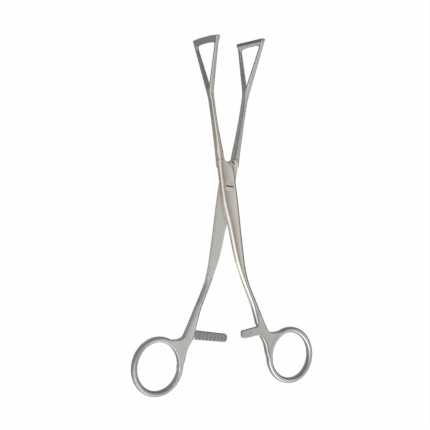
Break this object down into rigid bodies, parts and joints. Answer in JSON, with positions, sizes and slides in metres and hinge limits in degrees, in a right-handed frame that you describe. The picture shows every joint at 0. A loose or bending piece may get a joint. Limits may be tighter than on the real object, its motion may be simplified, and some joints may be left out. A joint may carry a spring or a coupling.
{
  "type": "tissue grasping forceps",
  "caption": "Tissue grasping forceps with open triangular jaws, a screwed lap joint, finger rings and a ratchet, shown part open.",
  "frame": {"origin": "on the pivot axis, in the plane where the two halves lap", "axes": "+Z along the pivot to the slotted screw head, +Y to the jaws, +X to the upper half's finger ring"},
  "size_m": [0.1204, 0.2052, 0.0306],
  "materials": {
    "satin_steel": "satin",
    "screw_steel": "satin"
  },
  "bodies": {
    "lower": {"lower_half": "satin_steel", "joint_screw": "screw_steel"},
    "upper": {"upper_half": "satin_steel"}
  },
  "joints": [
    {"name": "pivot", "type": "hinge", "parent": "lower", "child": "upper", "pos_m": [0, 0, 0], "axis": [0, 0, 1], "range_deg": [-17.7, 30]}
  ]
}
